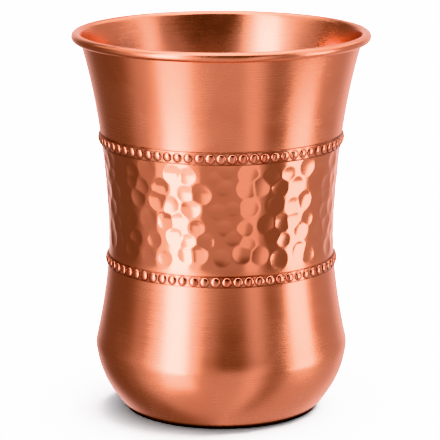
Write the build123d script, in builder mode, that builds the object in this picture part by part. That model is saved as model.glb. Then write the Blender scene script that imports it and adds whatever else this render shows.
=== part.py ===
from build123d import *

import os
from math import asin, atan, cos, degrees, sin

# A copper lota tumbler. Units are millimetres, +Z is up, and the origin is the centre of the ring
# that it stands on.
os.makedirs("parts", exist_ok=True)

# Sheet, wire and braze
sheet = 0.7
strip_sheet = 0.2
wire_radius = 0.6
braze_film = 0.06
braze_show = 0.1

# Overall sizes
total_height = 104.0
rim_radius = 40.5

# Foot: the shell's lower edge, rounded in under the base disc to a flat ring that it stands on
foot_flat = 25.8
foot_corner = 1.2
foot_opening = 22.4

# Outside of the wall above the foot, as (radius, height), and its outward slope at both ends.
# The wall bends tightly at the belly, and gently everywhere else.
heel = (31.55, 7.4)
bowl = (33.67, 12.5)
under_belly = (34.42, 16.0)
belly = (34.59, 17.4)
over_belly = (34.14, 20.5)
shoulder = (33.12, 25.6)
neck = (31.92, 33.0)
waist = (30.82, 46.0)
flare_start = (31.4, 61.7)
flare = (34.73, 87.5)
slope_at_foot = 0.80
slope_at_lip = 0.30
inside_steps = 48

# Rolled rim: the sheet bends out over the lip, then closes round the rim wire
lip_bend = 0.75
curl_angle = 212
roll_radius = wire_radius + sheet
wire_centre = (rim_radius - roll_radius, total_height - roll_radius)

# Base disc: let in from the mouth, standing on the turned-in edge, its middle dished up
disc_sheet = 0.9
disc_radius = foot_flat
dish_radius = 20.0
dish_rise = 0.9
dish_step = 2.2
dish_bend = 1.2
seam_leg = 1.0

# Beaded strips round the top and the bottom of the waist: name, height, width, beads
strips = (("upper", 75.1, 3.5, 71), ("lower", 41.7, 3.0, 66))
bead_radius = 1.25
bead_rise = 0.35
butt_gap = 0.5


def wall_outline():
    """Draws the shell's section, up its outside and down its inside, and returns the outside wall."""
    foot_centre = (foot_flat, foot_corner)
    foot_turn = 90 - degrees(atan(slope_at_foot))
    lip_centre = (wire_centre[0], wire_centre[1] + wire_radius - lip_bend)
    lip_turn = 90 - degrees(atan(slope_at_lip))
    slopes = ((slope_at_foot, 1), (slope_at_lip, 1))

    foot = Line((foot_opening, 0), (foot_flat, 0))
    corner = CenterArc(foot_centre, foot_corner, -90, foot_turn)
    lip = CenterArc(lip_centre, lip_bend, 90, lip_turn)
    lower = (corner @ 1, heel, bowl, under_belly, belly, over_belly, shoulder)
    upper = (neck, waist, flare_start, flare, lip @ 1)
    wall = Spline(*lower, *upper, tangents=slopes, tangent_scalars=(1, 1))
    curl = CenterArc(wire_centre, wire_radius, 90, -curl_angle)

    inner_curl = CenterArc(wire_centre, roll_radius, 90, -curl_angle)
    CenterArc(lip_centre, lip_bend + sheet, 90, lip_turn)
    inside = []
    for i in range(inside_steps + 1):
        share = i / inside_steps
        along = wall % share
        inside.append(wall @ share + Vector(-along.Y, along.X) * sheet)
    Spline(*inside, tangents=slopes, tangent_scalars=(1, 1))
    CenterArc(foot_centre, foot_corner - sheet, -90, foot_turn)
    inner_foot = Line((foot_flat, sheet), (foot_opening, sheet))

    Line(curl @ 1, inner_curl @ 1)
    Line(inner_foot @ 1, foot @ 0)
    return wall


# Wall shell: one spun copper sheet from the turned-in foot to the curl at the rim
with BuildPart() as wall_shell:
    with BuildSketch(Plane.XZ):
        with BuildLine():
            wall = wall_outline()
        make_face()
    revolve(axis=Axis.Z)
wall_shell.part.label = "wall_shell"
export_step(wall_shell.part, "parts/wall_shell.step")

# Rim wire: a closed ring, shut inside the curl
with BuildPart() as rim_wire:
    with BuildSketch(Plane.XZ):
        with Locations(wire_centre):
            Circle(wire_radius)
    revolve(axis=Axis.Z)
rim_wire.part.label = "rim_wire"
export_step(rim_wire.part, "parts/rim_wire.step")

# Base disc
disc_line = (
    (0, sheet + dish_rise),
    (dish_radius, sheet + dish_rise),
    (dish_radius + dish_step, sheet),
    (disc_radius, sheet),
)
with BuildPart() as base_disc:
    with BuildSketch(Plane.XZ):
        with BuildLine():
            under = FilletPolyline(*disc_line, radius=dish_bend)
            top = FilletPolyline(*[(r, z + disc_sheet) for r, z in disc_line], radius=dish_bend)
            Line(under @ 0, top @ 0)
            Line(under @ 1, top @ 1)
        make_face()
    revolve(axis=Axis.Z)
base_disc.part.label = "base_disc"
export_step(base_disc.part, "parts/base_disc.step")

# Base seam: braze that fills the groove between the disc's edge and the wall. Its section is drawn
# as far as the middle of the sheet, and the wall is then cut from it.
disc_top = sheet + disc_sheet
foot_lean = atan(slope_at_foot)
in_corner = Vector(cos(foot_lean), -sin(foot_lean)) * (foot_corner - sheet / 2)
in_corner += Vector(foot_flat, foot_corner)
in_wall = in_corner + Vector(slope_at_foot, 1) * (disc_top + seam_leg - in_corner.Y)
with BuildPart() as base_seam:
    with BuildSketch(Plane.XZ):
        with BuildLine():
            Polyline(
                (disc_radius - seam_leg, disc_top),
                (disc_radius, disc_top),
                (disc_radius, sheet / 2),
                in_corner,
                in_wall,
                close=True,
            )
        make_face()
    revolve(axis=Axis.Z)
    add(wall_shell.part, mode=Mode.SUBTRACT)
base_seam.part.label = "base_seam"
export_step(base_seam.part, "parts/base_seam.step")

# Beaded strips, each bent round the wall with its ends butted at the back, and the braze behind it
dome_radius = (bead_radius**2 + bead_rise**2) / (2 * bead_rise)
dome_inset = dome_radius - bead_rise
dome_latitude = degrees(asin((dome_inset - strip_sheet / 2) / dome_radius))
for name, height, width, beads in strips:
    half = width / 2 + braze_show
    low = IntersectingLine((0, height - half), (1, 0), wall) @ 1
    high = IntersectingLine((0, height + half), (1, 0), wall) @ 1
    along = (high - low).normalized()
    outward = Vector(along.Y, -along.X)
    tilt = degrees(atan(along.X / along.Y))
    braze_centre = (low + high) / 2
    strip_centre = braze_centre + outward * braze_film
    dome_centre = strip_centre + outward * (strip_sheet - dome_inset)
    gap_angle = degrees(butt_gap / strip_centre.X)
    back = Plane((0, 0, 0), x_dir=(0, 1, 0), z_dir=(1, 0, 0)).rotated((0, gap_angle / 2, 0))

    with BuildPart() as strip:
        with BuildSketch(back):
            with Locations(Location(strip_centre, -tilt)):
                Rectangle(strip_sheet, width, align=(Align.MIN, Align.CENTER))
        revolve(axis=Axis.Z, revolution_arc=360 - gap_angle)
        with Locations((0, 0, dome_centre.Y)):
            with PolarLocations(dome_centre.X, beads, start_angle=90 + 180 / beads):
                Sphere(dome_radius, arc_size1=dome_latitude, rotation=(0, 90 + tilt, 0), align=None)
    strip.part.label = name + "_bead_strip"
    export_step(strip.part, "parts/" + name + "_bead_strip.step")

    with BuildPart() as strip_braze:
        with BuildSketch(Plane.XZ):
            with Locations(Location(braze_centre, -tilt)):
                Rectangle(braze_film, (high - low).length, align=(Align.MIN, Align.CENTER))
        revolve(axis=Axis.Z)
    strip_braze.part.label = name + "_strip_braze"
    export_step(strip_braze.part, "parts/" + name + "_strip_braze.step")
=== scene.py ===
from math import atan, cos, degrees, pi, radians, sin, tan, tau

import bmesh
import bpy
import numpy as np
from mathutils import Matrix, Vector


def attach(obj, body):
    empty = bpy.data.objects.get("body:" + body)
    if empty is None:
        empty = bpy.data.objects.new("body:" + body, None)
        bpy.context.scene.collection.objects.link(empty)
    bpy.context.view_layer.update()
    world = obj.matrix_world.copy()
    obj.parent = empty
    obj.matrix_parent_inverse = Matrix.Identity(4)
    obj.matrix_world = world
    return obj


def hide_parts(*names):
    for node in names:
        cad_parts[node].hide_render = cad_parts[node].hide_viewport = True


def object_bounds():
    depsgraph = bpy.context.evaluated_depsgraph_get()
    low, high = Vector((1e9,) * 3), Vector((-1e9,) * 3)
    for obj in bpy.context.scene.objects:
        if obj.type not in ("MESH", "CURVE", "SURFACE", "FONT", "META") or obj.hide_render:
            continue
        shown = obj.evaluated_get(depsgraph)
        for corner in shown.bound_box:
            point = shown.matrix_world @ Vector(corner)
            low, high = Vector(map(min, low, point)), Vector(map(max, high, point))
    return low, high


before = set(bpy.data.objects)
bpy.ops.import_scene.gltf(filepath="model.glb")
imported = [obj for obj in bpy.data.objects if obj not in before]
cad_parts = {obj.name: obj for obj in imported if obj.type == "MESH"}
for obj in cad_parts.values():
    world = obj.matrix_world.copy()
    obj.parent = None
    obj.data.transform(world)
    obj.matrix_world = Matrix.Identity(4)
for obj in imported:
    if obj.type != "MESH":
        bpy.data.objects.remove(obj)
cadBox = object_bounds()
mm = 0.001

rimRadius = cadBox[1][0]
rimTop = cadBox[1][2]


# camera

camera = {
    "distance": 683.7 * mm,
    "elevation": 12.64,
    "aimHeight": 51.6 * mm,
    "lens": 203.96,
    "shiftX": -0.002727,
    "farClip": 20,
}


def makeCamera():
    data = bpy.data.cameras.new("camera")
    data.lens = camera["lens"]
    data.shift_x = camera["shiftX"]
    data.clip_end = camera["farClip"]
    cam = bpy.data.objects.new("camera", data)
    bpy.context.scene.collection.objects.link(cam)
    tilt = radians(camera["elevation"])
    aim = Vector((0, 0, camera["aimHeight"]))
    cam.location = aim + Vector((0, -cos(tilt), sin(tilt))) * camera["distance"]
    cam.rotation_euler = (pi / 2 - tilt, 0, 0)
    bpy.context.scene.camera = cam


makeCamera()
print("camera set")


# node helpers, for shader and geometry trees alike

def addNode(tree, kind, inputs=None, **settings):
    node = tree.nodes.new(kind)
    for key, value in settings.items():
        setattr(node, key, value)
    for key, value in (inputs or {}).items():
        if isinstance(value, bpy.types.NodeSocket):
            tree.links.new(value, node.inputs[key])
        else:
            node.inputs[key].default_value = value
    return node


def calc(tree, operation, a, b=0.0, c=0.0):
    return addNode(tree, "ShaderNodeMath", {0: a, 1: b, 2: c}, operation=operation).outputs[0]


def vectorCalc(tree, operation, a, b=(0, 0, 0)):
    node = addNode(tree, "ShaderNodeVectorMath", {0: a, 1: b}, operation=operation)
    return node.outputs["Value" if operation in ("LENGTH", "DISTANCE", "DOT_PRODUCT") else "Vector"]


def ease(tree, value, low, high, toLow=0.0, toHigh=1.0):
    inputs = {"Value": value, "From Min": low, "From Max": high, "To Min": toLow, "To Max": toHigh}
    node = addNode(tree, "ShaderNodeMapRange", inputs, interpolation_type="SMOOTHSTEP")
    return node.outputs["Result"]


def newTree(name, kind, inputs, outputs):
    tree = bpy.data.node_groups.new(name, kind)
    for label, (socket, value) in inputs.items():
        made = tree.interface.new_socket(label, in_out="INPUT", socket_type="NodeSocket" + socket)
        if value is not None:
            made.default_value = value
    for label, socket in outputs.items():
        tree.interface.new_socket(label, in_out="OUTPUT", socket_type="NodeSocket" + socket)
    given = tree.nodes.new("NodeGroupInput")
    result = tree.nodes.new("NodeGroupOutput")
    return tree, given.outputs, result


def finishTree(tree, geometry, finish, result):
    whole = addNode(tree, "GeometryNodeRealizeInstances", {"Geometry": geometry}).outputs[0]
    coated = addNode(tree, "GeometryNodeSetMaterial", {"Geometry": whole, "Material": finish})
    tree.links.new(coated.outputs[0], result.inputs[0])


def applyTree(piece, tree, values):
    modifier = piece.modifiers.new(tree.name, "NODES")
    modifier.node_group = tree
    for item in tree.interface.items_tree:
        if item.in_out == "INPUT" and item.name in values:
            modifier[item.identifier] = values[item.name]
    graph = bpy.context.evaluated_depsgraph_get()
    mesh = bpy.data.meshes.new_from_object(
        piece.evaluated_get(graph), preserve_all_data_layers=True, depsgraph=graph
    )
    piece.modifiers.clear()
    piece.data = mesh
    mesh.name = piece.name


# effects that several finishes share

def makeBrushedGrain():
    inputs = {"Lines": ("Float", 5200.0), "Streak": ("Float", 2.0)}
    tree, given, result = newTree("brushedGrain", "ShaderNodeTree", inputs, {"Line": "Float"})
    place = addNode(tree, "ShaderNodeTexCoord").outputs["Object"]
    flat = vectorCalc(tree, "MULTIPLY", place, (1, 1, 0))
    radius = vectorCalc(tree, "LENGTH", flat)
    height = addNode(tree, "ShaderNodeSeparateXYZ", {0: place}).outputs["Z"]
    across = calc(tree, "MULTIPLY", calc(tree, "ADD", radius, height), given["Lines"])
    around = addNode(tree, "ShaderNodeSeparateXYZ", {0: vectorCalc(tree, "NORMALIZE", flat)})
    spot = addNode(tree, "ShaderNodeCombineXYZ", {
        0: calc(tree, "MULTIPLY", around.outputs["X"], given["Streak"]),
        1: calc(tree, "MULTIPLY", around.outputs["Y"], given["Streak"]),
        2: across,
    }).outputs[0]
    grain = addNode(tree, "ShaderNodeTexNoise", {
        "Vector": spot, "Scale": 1.0, "Detail": 3.0, "Roughness": 0.6,
    })
    tree.links.new(grain.outputs["Fac"], result.inputs["Line"])
    return tree


def makeHandledTone():
    inputs = {"Size": ("Float", 60.0), "Low": ("Float", 0.35), "High": ("Float", 0.65)}
    tree, given, result = newTree("handledTone", "ShaderNodeTree", inputs, {"Tone": "Float"})
    place = addNode(tree, "ShaderNodeTexCoord").outputs["Object"]
    cloud = addNode(tree, "ShaderNodeTexNoise", {
        "Vector": place, "Scale": given["Size"], "Detail": 4.0, "Roughness": 0.55, "Distortion": 0.4,
    })
    tone = ease(tree, cloud.outputs["Fac"], given["Low"], given["High"])
    tree.links.new(tone, result.inputs["Tone"])
    return tree


brushedGrain = makeBrushedGrain()
handledTone = makeHandledTone()
print("shared effects built")


# finishes

def newFinish(name, steady):
    material = bpy.data.materials.new(name)
    material.use_nodes = True
    tree = material.node_tree
    shader = tree.nodes["Principled BSDF"]
    for key, value in steady.items():
        shader.inputs[key].default_value = value
    return material, tree, shader


def mixColour(tree, factor, a, b):
    node = addNode(tree, "ShaderNodeMix", {0: factor}, data_type="RGBA")
    for index, value in ((6, a), (7, b)):
        if isinstance(value, bpy.types.NodeSocket):
            tree.links.new(value, node.inputs[index])
        else:
            node.inputs[index].default_value = value
    return node.outputs[2]


def aroundTangent(tree):
    place = addNode(tree, "ShaderNodeTexCoord").outputs["Object"]
    turned = vectorCalc(tree, "CROSS_PRODUCT", (0, 0, 1), place)
    return vectorCalc(tree, "NORMALIZE", turned)


satin = {
    "pale": (0.95, 0.485, 0.335, 1),
    "deep": (0.89, 0.42, 0.280, 1),
    "lineShare": 0.65,
    "toneShare": 0.35,
    "toneSize": 45.0,
    "roughness": (0.22, 0.30),
    "roughnessSpread": (0.2, 0.8),
    # the hammered band is smoother than the brushed copper above and below it
    "bandRoughness": (0.09, 0.16),
    "bandLow": (43.5 * mm, 45.5 * mm),
    "bandHigh": (73.5 * mm, 74.5 * mm),
    "bump": 0.004 * mm,
    "bumpStrength": 0.6,
    # the inside's paler copper is painted light, against the deep colour of light bouncing round inside
    "inside": (0.96, 0.66, 0.54, 1),
    "insideFade": (106 * mm, 78 * mm),
    "inwardFade": (0.3, -0.3),
}


def makeSatinCopper():
    steady = {"Metallic": 1.0, "Anisotropic": 0.35, "Anisotropic Rotation": 0.25}
    material, tree, shader = newFinish("satinCopper", steady)
    line = addNode(tree, "ShaderNodeGroup", node_tree=brushedGrain).outputs["Line"]
    size = {"Size": satin["toneSize"]}
    tone = addNode(tree, "ShaderNodeGroup", size, node_tree=handledTone).outputs["Tone"]
    place = addNode(tree, "ShaderNodeTexCoord").outputs["Object"]
    height = addNode(tree, "ShaderNodeSeparateXYZ", {0: place}).outputs["Z"]
    above = ease(tree, height, *satin["bandLow"])
    below = ease(tree, height, *satin["bandHigh"], 1.0, 0.0)
    band = calc(tree, "MULTIPLY", above, below)
    blow = addNode(tree, "ShaderNodeAttribute", attribute_name="blowTone").outputs["Fac"]

    toned = calc(tree, "MULTIPLY", tone, satin["toneShare"])
    mixed = calc(tree, "MULTIPLY_ADD", line, satin["lineShare"], toned)
    colour = mixColour(tree, mixed, satin["deep"], satin["pale"])
    # painted light: lower down, the inside is painted a paler copper, to take the deep colour out of the
    # light that bounces round inside
    facing = addNode(tree, "ShaderNodeNewGeometry").outputs["Normal"]
    radial = vectorCalc(tree, "NORMALIZE", vectorCalc(tree, "MULTIPLY", place, (1, 1, 0)))
    inward = ease(tree, vectorCalc(tree, "DOT_PRODUCT", facing, radial), *satin["inwardFade"])
    deepIn = ease(tree, height, *satin["insideFade"])
    colour = mixColour(tree, calc(tree, "MULTIPLY", inward, deepIn), colour, satin["inside"])
    tree.links.new(colour, shader.inputs["Base Color"])

    plain = ease(tree, mixed, *satin["roughnessSpread"], *satin["roughness"])
    struck = ease(tree, blow, 0.0, 1.0, *satin["bandRoughness"])
    rough = addNode(tree, "ShaderNodeMix", {0: band, 2: plain, 3: struck}, data_type="FLOAT")
    tree.links.new(rough.outputs[0], shader.inputs["Roughness"])

    bump = addNode(tree, "ShaderNodeBump", {
        "Height": line, "Strength": satin["bumpStrength"], "Distance": satin["bump"],
    })
    tree.links.new(bump.outputs[0], shader.inputs["Normal"])
    tree.links.new(aroundTangent(tree), shader.inputs["Tangent"])
    return material


beaded = {
    "pale": (0.96, 0.50, 0.355, 1),
    "deep": (0.88, 0.40, 0.280, 1),
    "toneSize": 220.0,
    # grime and painted shade: a darker copper for the bead feet and the strip's edges
    "grimeAndShade": (0.22, 0.115, 0.085, 1),
    "grimeAndShadeLoss": -0.25,
    "roughness": (0.14, 0.34),
}


def makeBeadedCopper():
    material, tree, shader = newFinish("beadedCopper", {"Metallic": 1.0})
    size = {"Size": beaded["toneSize"]}
    tone = addNode(tree, "ShaderNodeGroup", size, node_tree=handledTone).outputs["Tone"]
    # darker copper where the mask is high: patina at the bead feet and along the edges, and painted shade
    # in those crevices
    grimeAndShade = addNode(tree, "ShaderNodeAttribute", attribute_name="grimeAndShade").outputs["Fac"]
    clean = mixColour(tree, tone, beaded["deep"], beaded["pale"])
    kept = calc(tree, "MULTIPLY_ADD", tone, beaded["grimeAndShadeLoss"], 1.0)
    caught = calc(tree, "MULTIPLY", grimeAndShade, kept)
    tree.links.new(mixColour(tree, caught, clean, beaded["grimeAndShade"]), shader.inputs["Base Color"])
    rough = ease(tree, grimeAndShade, 0.0, 1.0, *beaded["roughness"])
    tree.links.new(rough, shader.inputs["Roughness"])
    return material


dull = {
    "pale": (0.66, 0.30, 0.19, 1),
    "deep": (0.46, 0.19, 0.12, 1),
    "toneSize": 300.0,
    "roughness": (0.50, 0.34),
    "bump": 0.03 * mm,
    "bumpStrength": 0.5,
}


def makeBraze():
    material, tree, shader = newFinish("braze", {"Metallic": 1.0})
    size = {"Size": dull["toneSize"]}
    tone = addNode(tree, "ShaderNodeGroup", size, node_tree=handledTone).outputs["Tone"]
    colour = mixColour(tree, tone, dull["deep"], dull["pale"])
    tree.links.new(colour, shader.inputs["Base Color"])
    rough = ease(tree, tone, 0.0, 1.0, *dull["roughness"])
    tree.links.new(rough, shader.inputs["Roughness"])
    bump = addNode(tree, "ShaderNodeBump", {
        "Height": tone, "Strength": dull["bumpStrength"], "Distance": dull["bump"],
    })
    tree.links.new(bump.outputs[0], shader.inputs["Normal"])
    return material


drawn = {
    "pale": (0.88, 0.36, 0.20, 1),
    "deep": (0.62, 0.20, 0.10, 1),
    "grain": {"Lines": 9000.0, "Streak": 5.0},
    "roughness": (0.28, 0.42),
    "roughnessSpread": (0.2, 0.8),
}


def makeDrawnWire():
    material, tree, shader = newFinish("drawnWire", {"Metallic": 1.0})
    line = addNode(tree, "ShaderNodeGroup", drawn["grain"], node_tree=brushedGrain).outputs["Line"]
    tree.links.new(mixColour(tree, line, drawn["deep"], drawn["pale"]), shader.inputs["Base Color"])
    rough = ease(tree, line, *drawn["roughnessSpread"], *drawn["roughness"])
    tree.links.new(rough, shader.inputs["Roughness"])
    return material


satinCopper = makeSatinCopper()
beadedCopper = makeBeadedCopper()
braze = makeBraze()
drawnWire = makeDrawnWire()
print("finishes mixed")


# turning shapes round the axis

def arc(centre, radius, start, turn, steps):
    angles = np.radians(np.linspace(start, start + turn, steps + 1))
    return [(centre[0] + radius * cos(a), centre[1] + radius * sin(a)) for a in angles]


sharpAngle = radians(35)


def addPiece(name, vertices, faces, finish):
    mesh = bpy.data.meshes.new(name)
    mesh.from_pydata(vertices, [], faces)
    work = bmesh.new()
    work.from_mesh(mesh)
    bmesh.ops.recalc_face_normals(work, faces=work.faces)
    work.to_mesh(mesh)
    work.free()
    mesh.shade_smooth()
    mesh.set_sharp_from_angle(angle=sharpAngle)
    mesh.materials.append(finish)
    piece = bpy.data.objects.new(name, mesh)
    bpy.context.scene.collection.objects.link(piece)
    return piece


def settle(piece, node):
    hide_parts(node)
    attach(piece, "root")
    print(piece.name, "made:", len(piece.data.polygons), "faces")


def turn(rings, loop=True, startAngle=0.0, sweep=tau):
    # rings are (radius, height, count); a ring may have a whole multiple of its neighbour's count.
    # Without a loop, the first and the last ring are closed with a flat cap.
    vertices, faces, firsts = [], [], []
    whole = sweep == tau
    for radius, height, count in rings:
        firsts.append(len(vertices))
        steps = count if whole else count + 1
        for j in range(steps):
            angle = startAngle + sweep * j / count
            vertices.append((radius * cos(angle), radius * sin(angle), height))
    pairs = len(rings) if loop else len(rings) - 1
    for k in range(pairs):
        m = (k + 1) % len(rings)
        few = min(rings[k][2], rings[m][2])
        sides = []
        for ring in (k, m):
            count, first = rings[ring][2], firsts[ring]
            step = count // few
            size = count if whole else count + 1
            starts = range(0, few * step, step)
            sides.append([[first + (start + i) % size for i in range(step + 1)] for start in starts])
        for j in range(few):
            corners = sides[0][j] + sides[1][j][::-1]
            faces.append(list(dict.fromkeys(corners)))
    if not loop:
        faces.append(list(range(firsts[-1], firsts[-1] + rings[-1][2])))
        faces.append(list(range(rings[0][2]))[::-1])
    if not whole:
        faces.append(firsts)
        faces.append([first + ring[2] for first, ring in zip(firsts, rings)][::-1])
    return vertices, faces


# wall shell: spun from the turned-in foot to the curled rim, then hammered round the waist

shell = {
    "sheet": 0.7 * mm,
    "footFlat": 25.8 * mm,
    "footCorner": 1.2 * mm,
    "footOpening": 22.4 * mm,
    "wireRadius": 0.6 * mm,
    "lipBend": 0.75 * mm,
    "curl": 212,
    "footSlope": 0.80,
    "lipSlope": 0.30,
    # outside radius and height, in millimetres, from the heel to the flare
    "outside": [
        (31.55, 7.4), (33.67, 12.5), (34.42, 16.0), (34.59, 17.4), (34.14, 20.5),
        (33.12, 25.6), (31.92, 33.0), (30.82, 46.0), (31.4, 61.7), (34.73, 87.5),
    ],
    "around": 160,
    "aroundBand": 480,
    "band": (43.4 * mm, 73.6 * mm),
    "rows": {"below": 74, "band": 88, "above": 28, "insideBand": 20},
    "bends": {"foot": 6, "lip": 6, "aroundWire": 10, "edge": 6, "roll": 30, "innerFoot": 4},
}
footCentre = (shell["footFlat"], shell["footCorner"])
footTurn = 90 - degrees(atan(shell["footSlope"]))
rollRadius = shell["wireRadius"] + shell["sheet"]
wireCentre = (rimRadius - rollRadius, rimTop - rollRadius)
lipCentre = (wireCentre[0], wireCentre[1] + shell["wireRadius"] - shell["lipBend"])
lipTurn = 90 - degrees(atan(shell["lipSlope"]))


def fitCurve(heights, radii, lowSlope, highSlope):
    # a cubic spline through the points, with its slope set at both ends
    gaps = np.diff(heights)
    climbs = np.diff(radii) / gaps
    n = len(heights)
    left, right = np.zeros((n, n)), np.zeros(n)
    left[0, :2] = 2 * gaps[0], gaps[0]
    left[-1, -2:] = gaps[-1], 2 * gaps[-1]
    right[0], right[-1] = 6 * (climbs[0] - lowSlope), 6 * (highSlope - climbs[-1])
    for i in range(1, n - 1):
        left[i, i - 1:i + 2] = gaps[i - 1], 2 * (gaps[i - 1] + gaps[i]), gaps[i]
        right[i] = 6 * (climbs[i] - climbs[i - 1])
    bends = np.linalg.solve(left, right)

    def at(height):
        i = int(np.clip(np.searchsorted(heights, height) - 1, 0, n - 2))
        d, g = height - heights[i], gaps[i]
        start = climbs[i] - g * (2 * bends[i] + bends[i + 1]) / 6
        grow = (bends[i + 1] - bends[i]) / g
        radius = radii[i] + d * (start + d * (bends[i] / 2 + d * grow / 6))
        slope = start + d * (bends[i] + d * grow / 2)
        return radius, slope

    return at


def wallCurve():
    lipEnd = arc(lipCentre, shell["lipBend"], 90, lipTurn, 1)[-1]
    points = [arc(footCentre, shell["footCorner"], -90, footTurn, 1)[-1]]
    points += [(r * mm, z * mm) for r, z in shell["outside"]]
    points.append(lipEnd)
    radii, heights = np.array(points).T
    return fitCurve(heights, radii, shell["footSlope"], shell["lipSlope"]), heights[0], heights[-1]


outsideAt, wallFoot, wallTop = wallCurve()


def insideAt(height):
    # the point of the inner face that lies square behind the outside at this height
    radius, slope = outsideAt(height)
    step = shell["sheet"] / np.hypot(1, slope)
    return radius - step, height + step * slope


def shellRings():
    few, many = shell["around"], shell["aroundBand"]
    low, high = shell["band"]
    rows, bends = shell["rows"], shell["bends"]
    sheet, corner = shell["sheet"], shell["footCorner"]
    # the curl ends in a rounded edge, whose middle is half a sheet short of the curl's end
    middle = shell["wireRadius"] + sheet / 2
    rolled = shell["curl"] - degrees(0.5 * sheet / middle)
    edgeAngle = radians(90 - rolled)
    edgeCentre = (wireCentre[0] + middle * cos(edgeAngle), wireCentre[1] + middle * sin(edgeAngle))

    below = np.linspace(wallFoot, low, rows["below"])[1:]
    band = np.linspace(low, high, rows["band"] + 2)[1:-1]
    above = np.linspace(high, wallTop, rows["above"])
    insideBand = np.linspace(low, high, rows["insideBand"] + 2)[1:-1]

    foot = [(shell["footOpening"], 0)] + arc(footCentre, corner, -90, footTurn, bends["foot"])
    rings = [(r, z, few) for r, z in foot]
    rings += [(outsideAt(z)[0], z, few) for z in below]
    rings += [(outsideAt(z)[0], z, many) for z in band]
    rings += [(outsideAt(z)[0], z, few) for z in above]
    lip = arc(lipCentre, shell["lipBend"], 90 + lipTurn, -lipTurn, bends["lip"])[1:]
    aroundWire = arc(wireCentre, shell["wireRadius"], 90, -rolled, bends["aroundWire"])[1:]
    edge = arc(edgeCentre, sheet / 2, 270 - rolled, -180, bends["edge"])[1:-1]
    roll = arc(wireCentre, rollRadius, 90 - rolled, rolled, bends["roll"])
    innerLip = arc(lipCentre, shell["lipBend"] + sheet, 90, lipTurn, bends["lip"])[1:-1]
    rings += [(r, z, few) for r, z in lip + aroundWire + edge + roll + innerLip]
    for z in [*above[::-1], *insideBand[::-1], *below[::-1]]:
        rings.append((*insideAt(z), few))
    innerFoot = arc(footCentre, corner - sheet, footTurn - 90, -footTurn, bends["innerFoot"])
    rings += [(r, z, few) for r, z in innerFoot]
    rings.append((shell["footOpening"], sheet, few))
    return rings


hammer = {
    "Rows": 6,
    "Blows in a Row": 36,
    "Low": 46.0 * mm,
    "High": 72.8 * mm,
    "Radius": 31.0 * mm,
    "Smallest": 2.1 * mm,
    "Largest": 2.9 * mm,
    "Face Radius": 15.0 * mm,
    "Drift": 0.62,
    "Seed": 7,
}


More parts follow.
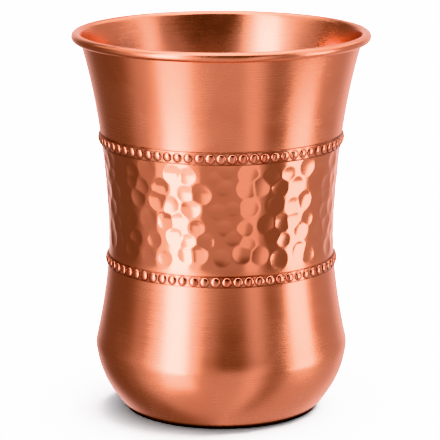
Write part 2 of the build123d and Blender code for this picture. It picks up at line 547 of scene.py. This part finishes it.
def makeHammering():
    inputs = {
        "Geometry": ("Geometry", None),
        "Rows": ("Int", 5),
        "Blows in a Row": ("Int", 38),
        "Low": ("Float", 0.0),
        "High": ("Float", 0.0),
        "Radius": ("Float", 0.0),
        "Smallest": ("Float", 0.0),
        "Largest": ("Float", 0.0),
        "Face Radius": ("Float", 1.0),
        "Drift": ("Float", 0.0),
        "Seed": ("Int", 0),
        "Finish": ("Material", None),
    }
    tree, given, result = newTree("hammering", "GeometryNodeTree", inputs, {"Geometry": "Geometry"})

    def chance(low, high, salt):
        seed = calc(tree, "ADD", given["Seed"], salt)
        span = {2: low, 3: high, "Seed": seed}
        return addNode(tree, "FunctionNodeRandomValue", span, data_type="FLOAT").outputs[1]

    # where each blow falls: staggered rows, each blow drifting from its place
    index = addNode(tree, "GeometryNodeInputIndex").outputs[0]
    blows = calc(tree, "MULTIPLY", given["Rows"], given["Blows in a Row"])
    row = calc(tree, "FLOOR", calc(tree, "DIVIDE", index, given["Blows in a Row"]))
    column = calc(tree, "MODULO", index, given["Blows in a Row"])
    stagger = calc(tree, "MULTIPLY", calc(tree, "MODULO", row, 2.0), 0.5)
    drift = calc(tree, "MULTIPLY", given["Drift"], 0.5)
    sideways = calc(tree, "MULTIPLY", drift, chance(-1.0, 1.0, 1))
    across = calc(tree, "ADD", calc(tree, "ADD", column, stagger), sideways)
    share = calc(tree, "DIVIDE", across, given["Blows in a Row"])
    angle = calc(tree, "MULTIPLY", share, tau)
    upward = calc(tree, "MULTIPLY", drift, chance(-1.0, 1.0, 2))
    rise = calc(tree, "DIVIDE", calc(tree, "ADD", calc(tree, "ADD", row, 0.5), upward), given["Rows"])
    span = calc(tree, "SUBTRACT", given["High"], given["Low"])
    height = calc(tree, "MULTIPLY_ADD", rise, span, given["Low"])
    spot = addNode(tree, "ShaderNodeCombineXYZ", {
        0: calc(tree, "MULTIPLY", calc(tree, "COSINE", angle), given["Radius"]),
        1: calc(tree, "MULTIPLY", calc(tree, "SINE", angle), given["Radius"]),
        2: height,
    }).outputs[0]
    points = addNode(tree, "GeometryNodePoints", {"Count": blows, "Position": spot})
    sized = addNode(tree, "GeometryNodeStoreNamedAttribute", {
        "Geometry": points.outputs[0],
        "Name": "size",
        "Value": chance(given["Smallest"], given["Largest"], 3),
    }, data_type="FLOAT", domain="POINT").outputs[0]

    # every vertex, brought onto the blows' own cylinder
    place = addNode(tree, "GeometryNodeInputPosition").outputs[0]
    outward = vectorCalc(tree, "NORMALIZE", vectorCalc(tree, "MULTIPLY", place, (1, 1, 0)))
    level = vectorCalc(tree, "MULTIPLY", place, (0, 0, 1))
    toRadius = {0: outward, "Scale": given["Radius"]}
    scaled = addNode(tree, "ShaderNodeVectorMath", toRadius, operation="SCALE").outputs[0]
    onBlows = vectorCalc(tree, "ADD", scaled, level)

    # one blow at a time: a vertex keeps the deepest dent that reaches it, and that blow's tone
    begin = tree.nodes.new("GeometryNodeRepeatInput")
    end = tree.nodes.new("GeometryNodeRepeatOutput")
    begin.pair_with_output(end)
    end.repeat_items.new("INT", "Blow")
    started = addNode(tree, "GeometryNodeStoreNamedAttribute", {
        "Geometry": given["Geometry"], "Name": "dent", "Value": 0.0,
    }, data_type="FLOAT", domain="POINT").outputs[0]
    started = addNode(tree, "GeometryNodeStoreNamedAttribute", {
        "Geometry": started, "Name": "blowTone", "Value": 0.5,
    }, data_type="FLOAT", domain="POINT").outputs[0]
    tree.links.new(blows, begin.inputs["Iterations"])
    tree.links.new(started, begin.inputs["Geometry"])
    blow = begin.outputs["Blow"]

    def ofThisBlow(value, kind):
        inputs = {"Geometry": sized, "Index": blow}
        node = addNode(tree, "GeometryNodeSampleIndex", inputs, data_type=kind, domain="POINT")
        tree.links.new(value, node.inputs["Value"])
        return node.outputs[0]

    def read(name):
        node = addNode(tree, "GeometryNodeInputNamedAttribute", {"Name": name}, data_type="FLOAT")
        return node.outputs[0]

    ownSpot = addNode(tree, "GeometryNodeInputPosition").outputs[0]
    away = vectorCalc(tree, "DISTANCE", onBlows, ofThisBlow(ownSpot, "FLOAT_VECTOR"))
    reach = ofThisBlow(read("size"), "FLOAT")
    awaySquared = calc(tree, "MULTIPLY", away, away)
    gap = calc(tree, "SUBTRACT", calc(tree, "MULTIPLY", reach, reach), awaySquared)
    deep = calc(tree, "DIVIDE", gap, calc(tree, "MULTIPLY", given["Face Radius"], 2.0))
    deeper = addNode(
        tree, "FunctionNodeCompare", {0: deep, 1: read("dent")}, data_type="FLOAT", operation="GREATER_THAN"
    ).outputs[0]
    anyTone = {2: 0.0, 3: 1.0, "ID": blow, "Seed": given["Seed"]}
    tone = addNode(tree, "FunctionNodeRandomValue", anyTone, data_type="FLOAT").outputs[1]
    marked = addNode(tree, "GeometryNodeStoreNamedAttribute", {
        "Geometry": begin.outputs["Geometry"], "Selection": deeper, "Name": "blowTone", "Value": tone,
    }, data_type="FLOAT", domain="POINT").outputs[0]
    dented = addNode(tree, "GeometryNodeStoreNamedAttribute", {
        "Geometry": marked, "Selection": deeper, "Name": "dent", "Value": deep,
    }, data_type="FLOAT", domain="POINT").outputs[0]
    tree.links.new(dented, end.inputs["Geometry"])
    tree.links.new(calc(tree, "ADD", blow, 1), end.inputs["Blow"])

    pressed = {0: outward, "Scale": calc(tree, "MULTIPLY", read("dent"), -1.0)}
    inward = addNode(tree, "ShaderNodeVectorMath", pressed, operation="SCALE").outputs[0]
    struck = {"Geometry": end.outputs["Geometry"], "Offset": inward}
    moved = addNode(tree, "GeometryNodeSetPosition", struck).outputs[0]
    finishTree(tree, moved, given["Finish"], result)
    return tree


wallShell = addPiece("wallShell", *turn(shellRings()), satinCopper)
applyTree(wallShell, makeHammering(), {**hammer, "Finish": satinCopper})
settle(wallShell, "wall_shell")


# base disc: let in from the mouth, its middle dished up

disc = {
    "sheet": 0.9 * mm,
    "dishRadius": 20.0 * mm,
    "dishRise": 0.9 * mm,
    "step": 2.2 * mm,
    "stepRows": 8,
    "around": 120,
    "capSides": 12,
    "capShare": 0.25,
    "flatShares": (0.5, 0.75, 0.9),
}


def discRings():
    seat, rise = shell["sheet"], disc["dishRise"]
    profile = [(disc["dishRadius"] * share, rise) for share in disc["flatShares"]]
    for i in range(disc["stepRows"] + 1):
        share = i / disc["stepRows"]
        fall = 0.5 - 0.5 * cos(pi * share)
        profile.append((disc["dishRadius"] + disc["step"] * share, rise * (1 - fall)))
    profile.append((shell["footFlat"], 0))
    under = [(disc["dishRadius"] * disc["capShare"], seat + rise, disc["capSides"])]
    under += [(r, seat + z, disc["around"]) for r, z in profile]
    top = [(r, z + disc["sheet"], count) for r, z, count in under]
    return under + top[::-1]


settle(addPiece("baseDisc", *turn(discRings(), loop=False), satinCopper), "base_disc")


# beaded strips: a band with its ends butted at the back, and a row of stamped beads

strips = {
    "upper": {"width": 3.5 * mm, "height": 75.1 * mm, "beads": 71, "seed": 3},
    "lower": {"width": 3.0 * mm, "height": 41.7 * mm, "beads": 66, "seed": 4},
    "film": 0.06 * mm,
    "sheet": 0.2 * mm,
    # from the middle to an edge, as shares of the half width and of the thickness
    "section": [(0.0, 1), (0.2, 1), (0.45, 1), (0.7, 1), (0.88, 1), (0.97, 0.8), (1, 0.45)],
    "beadRadius": 1.3 * mm,
    "beadRise": 0.48 * mm,
    "beadSegments": 14,
    "beadRings": 10,
    "oddSize": (0.95, 1.04),
    "buttGap": 0.5 * mm,
    "dressed": 1.07,
    "stepsPerBead": 8,
    # grime and painted shade fade up each bead, away from its foot, and in from the strip's edges
    "beadGrimeAndShade": (0.0, 0.40),
    "footGrimeAndShade": (1.0, 1.22),
    "edgeGrimeAndShade": (0.80, 0.94),
    "edgeDark": 0.9,
}


def makeBeading():
    inputs = {
        "Geometry": ("Geometry", None),
        "Beads": ("Int", 70),
        "Ring Radius": ("Float", 0.0),
        "Ring Height": ("Float", 0.0),
        "Half Width": ("Float", 1.0),
        "Tilt": ("Float", 0.0),
        "Bead Radius": ("Float", 0.0),
        "Bead Rise": ("Float", 0.0),
        "Seed": ("Int", 0),
        "Finish": ("Material", None),
    }
    tree, given, result = newTree("beading", "GeometryNodeTree", inputs, {"Geometry": "Geometry"})
    # bead places, half a step away from the butt joint
    index = addNode(tree, "GeometryNodeInputIndex").outputs[0]
    turnShare = calc(tree, "DIVIDE", calc(tree, "ADD", index, 0.5), given["Beads"])
    angle = calc(tree, "MULTIPLY_ADD", turnShare, tau, pi / 2)
    cosine, sine = calc(tree, "COSINE", angle), calc(tree, "SINE", angle)
    spot = addNode(tree, "ShaderNodeCombineXYZ", {
        0: calc(tree, "MULTIPLY", cosine, given["Ring Radius"]),
        1: calc(tree, "MULTIPLY", sine, given["Ring Radius"]),
        2: given["Ring Height"],
    }).outputs[0]
    points = addNode(tree, "GeometryNodePoints", {"Count": given["Beads"], "Position": spot}).outputs[0]
    level = calc(tree, "COSINE", given["Tilt"])
    drop = calc(tree, "MULTIPLY", calc(tree, "SINE", given["Tilt"]), -1.0)
    facing = addNode(tree, "ShaderNodeCombineXYZ", {
        0: calc(tree, "MULTIPLY", cosine, level),
        1: calc(tree, "MULTIPLY", sine, level),
        2: drop,
    }).outputs[0]
    turned = addNode(tree, "FunctionNodeAlignRotationToVector", {"Vector": facing}, axis="Z").outputs[0]

    # one bead: a flattened ball, half sunk in the strip
    ball = addNode(tree, "GeometryNodeMeshUVSphere", {
        "Segments": strips["beadSegments"], "Rings": strips["beadRings"], "Radius": 1.0,
    })
    place = addNode(tree, "GeometryNodeInputPosition").outputs[0]
    ballHeight = addNode(tree, "ShaderNodeSeparateXYZ", {0: place}).outputs["Z"]
    # the foot of each bead is darkened: grime and painted shade
    foot = ease(tree, ballHeight, *strips["beadGrimeAndShade"], 1.0, 0.0)
    crowned = addNode(tree, "GeometryNodeStoreNamedAttribute", {
        "Geometry": ball.outputs["Mesh"], "Name": "grimeAndShade", "Value": foot,
    }, data_type="FLOAT", domain="POINT").outputs[0]
    size = addNode(tree, "ShaderNodeCombineXYZ", {
        0: given["Bead Radius"], 1: given["Bead Radius"], 2: given["Bead Rise"],
    }).outputs[0]
    dome = addNode(tree, "GeometryNodeTransform", {"Geometry": crowned, "Scale": size}).outputs[0]
    smooth = addNode(tree, "GeometryNodeSetShadeSmooth", {"Geometry": dome}).outputs[0]
    smallest, largest = strips["oddSize"]
    sizes = {2: smallest, 3: largest, "Seed": given["Seed"]}
    odd = addNode(tree, "FunctionNodeRandomValue", sizes, data_type="FLOAT").outputs[1]
    beads = addNode(tree, "GeometryNodeInstanceOnPoints", {
        "Points": points, "Instance": smooth, "Rotation": turned, "Scale": odd,
    }).outputs[0]

    # painted shade and grime: the band is darkest right beside the beads, and along its edges, where it
    # meets the wall
    near = addNode(tree, "GeometryNodeProximity", {"Geometry": points}, target_element="POINTS")
    reach = calc(tree, "DIVIDE", near.outputs["Distance"], given["Bead Radius"])
    dark = ease(tree, reach, *strips["footGrimeAndShade"], 1.0, 0.0)
    bandHeight = addNode(tree, "ShaderNodeSeparateXYZ", {0: place}).outputs["Z"]
    offCentre = calc(tree, "ABSOLUTE", calc(tree, "SUBTRACT", bandHeight, given["Ring Height"]))
    towardEdge = calc(tree, "DIVIDE", offCentre, given["Half Width"])
    edge = ease(tree, towardEdge, *strips["edgeGrimeAndShade"], 0.0, strips["edgeDark"])
    band = addNode(tree, "GeometryNodeStoreNamedAttribute", {
        "Geometry": given["Geometry"], "Name": "grimeAndShade", "Value": calc(tree, "MAXIMUM", dark, edge),
    }, data_type="FLOAT", domain="POINT").outputs[0]

    joined = tree.nodes.new("GeometryNodeJoinGeometry")
    for part in (beads, band):
        tree.links.new(part, joined.inputs[0])
    finishTree(tree, joined.outputs[0], given["Finish"], result)
    return tree


beading = makeBeading()


def makeStrip(name):
    own = strips[name]
    radius, slope = outsideAt(own["height"])
    tilt = atan(slope)
    out, up = Vector((cos(tilt), -sin(tilt))), Vector((sin(tilt), cos(tilt)))
    middle = Vector((radius, own["height"])) + out * strips["film"]
    half, thick = own["width"] / 2, strips["sheet"]
    lowerHalf = [(-across, depth) for across, depth in strips["section"][:0:-1]]
    section = lowerHalf + strips["section"]
    face = [middle + out * thick * depth + up * half * across for across, depth in section]
    # the upper edge is dressed down on to the wall
    face[-1] = middle - out * strips["film"] + up * half * strips["dressed"]
    back = [middle + up * half, middle - up * half]
    count = own["beads"] * strips["stepsPerBead"]
    rings = [(p.x, p.y, count) for p in face + back]
    gap = strips["buttGap"] / radius
    shape = turn(rings, startAngle=pi / 2 + gap / 2, sweep=tau - gap)
    title = name + "BeadStrip"
    piece = addPiece(title, *shape, beadedCopper)
    centre = middle + out * thick
    applyTree(piece, beading, {
        "Beads": own["beads"],
        "Ring Radius": centre.x,
        "Ring Height": centre.y,
        "Half Width": half,
        "Tilt": tilt,
        "Bead Radius": strips["beadRadius"],
        "Bead Rise": strips["beadRise"],
        "Seed": own["seed"],
        "Finish": beadedCopper,
    })
    settle(piece, name + "_bead_strip")


makeStrip("upper")
makeStrip("lower")


# pieces whose CAD shape is right: only their finish is changed

def refinish(node, finish):
    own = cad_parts[node]
    own.data.materials.clear()
    own.data.materials.append(finish)
    own.data.shade_smooth()


refinish("rim_wire", drawnWire)
for node in ("base_seam", "upper_strip_braze", "lower_strip_braze"):
    refinish(node, braze)
print("wire and braze finished")


# table, light and background

table = {
    "halfSide": 3.0,
    "colour": (0.80, 0.80, 0.80, 1),
    "shade": (0.84, 0.84, 0.84, 1),
    "glow": (0.02, 2.4),
    "glowFrom": 34 * mm,
    "glowTo": 60 * mm,
    "toneSize": 3.0,
    "steady": {"Roughness": 0.6, "Specular IOR Level": 0.2},
    # azimuth, elevation, distance, size and power of the lamp that lights only the table
    "lamp": (130, 58, 1.0, 1.1, 26.0),
}


def clearFromBelow(tree, shader):
    # so that the underside of the foot can be seen
    below = addNode(tree, "ShaderNodeNewGeometry").outputs["Backfacing"]
    tree.links.new(calc(tree, "SUBTRACT", 1.0, below), shader.inputs["Alpha"])


def makeTable():
    side = table["halfSide"]
    corners = [(-side, -side, 0), (side, -side, 0), (side, side, 0), (-side, side, 0)]
    mesh = bpy.data.meshes.new("table")
    mesh.from_pydata(corners, [], [(0, 1, 2, 3)])
    piece = bpy.data.objects.new("table", mesh)
    bpy.context.scene.collection.objects.link(piece)
    # a clear-topped table: the metal sees the lamps through it
    piece.visible_glossy = False
    piece.visible_diffuse = False
    piece.visible_shadow = False
    material, tree, shader = newFinish("paleTable", table["steady"])
    size = {"Size": table["toneSize"]}
    tone = addNode(tree, "ShaderNodeGroup", size, node_tree=handledTone).outputs["Tone"]
    tree.links.new(mixColour(tree, tone, table["colour"], table["shade"]), shader.inputs["Base Color"])
    # the table glows further out, so that it stays white as far as the eye sees
    place = addNode(tree, "ShaderNodeTexCoord").outputs["Object"]
    away = vectorCalc(tree, "LENGTH", place)
    glow = ease(tree, away, table["glowFrom"], table["glowTo"], *table["glow"])
    tree.links.new(glow, shader.inputs["Emission Strength"])
    shader.inputs["Emission Color"].default_value = (1, 1, 1, 1)
    clearFromBelow(tree, shader)
    mesh.materials.append(material)
    return piece


# a dark ring just under the table's face: only the metal's reflections reach it, and it darkens the
# foot's rounded corner
footShade = {
    "inner": 25.7 * mm,
    "outer": 27.3 * mm,
    "depth": 0.05 * mm,
    "sides": 96,
    "dark": (0.004, 0.003, 0.003, 1),
    "lessDark": (0.010, 0.008, 0.008, 1),
    "toneSize": 40.0,
    "steady": {"Roughness": 0.9, "Specular IOR Level": 0.0},
}


def makeFootShade():
    sides = footShade["sides"]
    points = []
    for radius in (footShade["inner"], footShade["outer"]):
        for i in range(sides):
            angle = tau * i / sides
            points.append((radius * cos(angle), radius * sin(angle), -footShade["depth"]))
    faces = []
    for i in range(sides):
        j = (i + 1) % sides
        faces.append((sides + i, sides + j, j, i))
    mesh = bpy.data.meshes.new("footShade")
    mesh.from_pydata(points, [], faces)
    material, tree, shader = newFinish("footShade", footShade["steady"])
    size = {"Size": footShade["toneSize"]}
    tone = addNode(tree, "ShaderNodeGroup", size, node_tree=handledTone).outputs["Tone"]
    colour = mixColour(tree, tone, footShade["dark"], footShade["lessDark"])
    tree.links.new(colour, shader.inputs["Base Color"])
    clearFromBelow(tree, shader)
    mesh.materials.append(material)
    piece = bpy.data.objects.new("footShade", mesh)
    bpy.context.scene.collection.objects.link(piece)


tableTop = makeTable()
makeFootShade()
print("table laid")

# each lamp: azimuth from the camera's side, width, lowest and highest elevation in degrees, brightness
lamps = {
    "leftBox": (-43, 20, -24, 28, 4.3),
    "leftGlow": (-44, 46, -24, 26, 0.5),
    "leftLow": (-44, 30, -44, -24, 1.0),
    "leftHigh": (-42, 22, 28, 52, 2.2),
    "rightBox": (80, 24, -24, 8, 2.0),
    "rightHigh": (66, 12, 8, 25, 1.0),
    "rightTop": (105, 80, 25, 50, 0.6),
    "leftTop": (-95, 60, 25, 50, 0.35),
    "overhead": (0, 70, 55, 125, 1.4),
}
lampDistance = 1.5
lampAim = Vector((0, 0, cadBox[1][2] / 2))


def directionOf(azimuth, elevation=0):
    around, raised = radians(azimuth - 90), radians(elevation)
    return Vector((cos(around) * cos(raised), sin(around) * cos(raised), sin(raised)))


def makeLamp(name, azimuth, width, low, high, brightness):
    middle = (low + high) / 2
    away = directionOf(azimuth, middle)
    data = bpy.data.lights.new(name, "AREA")
    data.shape = "RECTANGLE"
    # degrees of azimuth get narrower higher up, but a lamp straight overhead keeps its width
    narrowing = 1 if middle == 90 else cos(radians(middle))
    data.size = 2 * lampDistance * tan(radians(width / 2)) * narrowing
    data.size_y = 2 * lampDistance * tan(radians((high - low) / 2))
    data.energy = brightness * pi * data.size * data.size_y
    lamp = bpy.data.objects.new(name, data)
    bpy.context.scene.collection.objects.link(lamp)
    lamp.location = lampAim + away * lampDistance
    lamp.rotation_euler = away.to_track_quat("Z", "Y").to_euler()
    lamp.visible_camera = False


for name, setting in lamps.items():
    makeLamp(name, *setting)


def makeTableLamp():
    azimuth, elevation, distance, size, power = table["lamp"]
    away = directionOf(azimuth, elevation)
    data = bpy.data.lights.new("tableLamp", "AREA")
    data.size, data.energy = size, power
    lamp = bpy.data.objects.new("tableLamp", data)
    bpy.context.scene.collection.objects.link(lamp)
    lamp.location = away * distance
    lamp.rotation_euler = away.to_track_quat("Z", "Y").to_euler()
    lamp.visible_camera = False
    lit = bpy.data.collections.new("litByTableLamp")
    lit.objects.link(tableTop)
    lamp.light_linking.receiver_collection = lit


makeTableLamp()

# the room's own grey: flags and cards are (azimuth, full half width, faded half width, grey)
room = {
    "grey": 0.40,
    "lowGrey": 0.45,
    "lowRise": (-0.30, -0.62),
    "white": 4.0,
    "tint": (1.0, 0.945, 0.99, 1),
    "leftFlag": (-118, 13, 36, 0.21),
    "backCard": (172, 15, 42, 0.58),
    "frontCard": (31, 4, 10, 0.62),
    "rightFlag": (55, 5, 14, 0.26),
    "frontFlag": (11, 6, 19, 0.18),
    "frontFlagRise": (-0.26, 0.14),
    "highFlag": (10, 24, 38, 0.08),
    "highFlagRise": (0.16, 0.32),
}
roomCards = ("leftFlag", "backCard", "frontCard", "rightFlag", "frontFlag", "highFlag")


def makeRoom():
    world = bpy.data.worlds.new("room")
    world.use_nodes = True
    tree = world.node_tree
    back = tree.nodes["Background"]
    facing = addNode(tree, "ShaderNodeTexCoord").outputs["Generated"]
    level = vectorCalc(tree, "NORMALIZE", vectorCalc(tree, "MULTIPLY", facing, (1, 1, 0)))
    rise = addNode(tree, "ShaderNodeSeparateXYZ", {0: facing}).outputs["Z"]
    grey = ease(tree, rise, *room["lowRise"], room["grey"], room["lowGrey"])
    for card in roomCards:
        azimuth, full, faded, shade = room[card]
        across = vectorCalc(tree, "DOT_PRODUCT", level, directionOf(azimuth))
        mask = ease(tree, across, cos(radians(faded)), cos(radians(full)))
        if card + "Rise" in room:
            mask = calc(tree, "MULTIPLY", mask, ease(tree, rise, *room[card + "Rise"]))
        grey = addNode(tree, "ShaderNodeMix", {0: mask, 2: grey, 3: shade}, data_type="FLOAT").outputs[0]
    seen = addNode(tree, "ShaderNodeLightPath").outputs["Is Camera Ray"]
    strength = addNode(tree, "ShaderNodeMix", {0: seen, 2: grey, 3: room["white"]}, data_type="FLOAT")
    tree.links.new(strength.outputs[0], back.inputs["Strength"])
    tint = mixColour(tree, seen, room["tint"], (1, 1, 1, 1))
    tree.links.new(tint, back.inputs["Color"])
    bpy.context.scene.world = world


makeRoom()
bpy.context.scene.cycles.caustics_reflective = False  # no copper-coloured light thrown on the table
bpy.context.scene.view_settings.view_transform = "Khronos PBR Neutral"
bpy.context.scene.view_settings.look = "Very High Contrast"
print("studio lit")
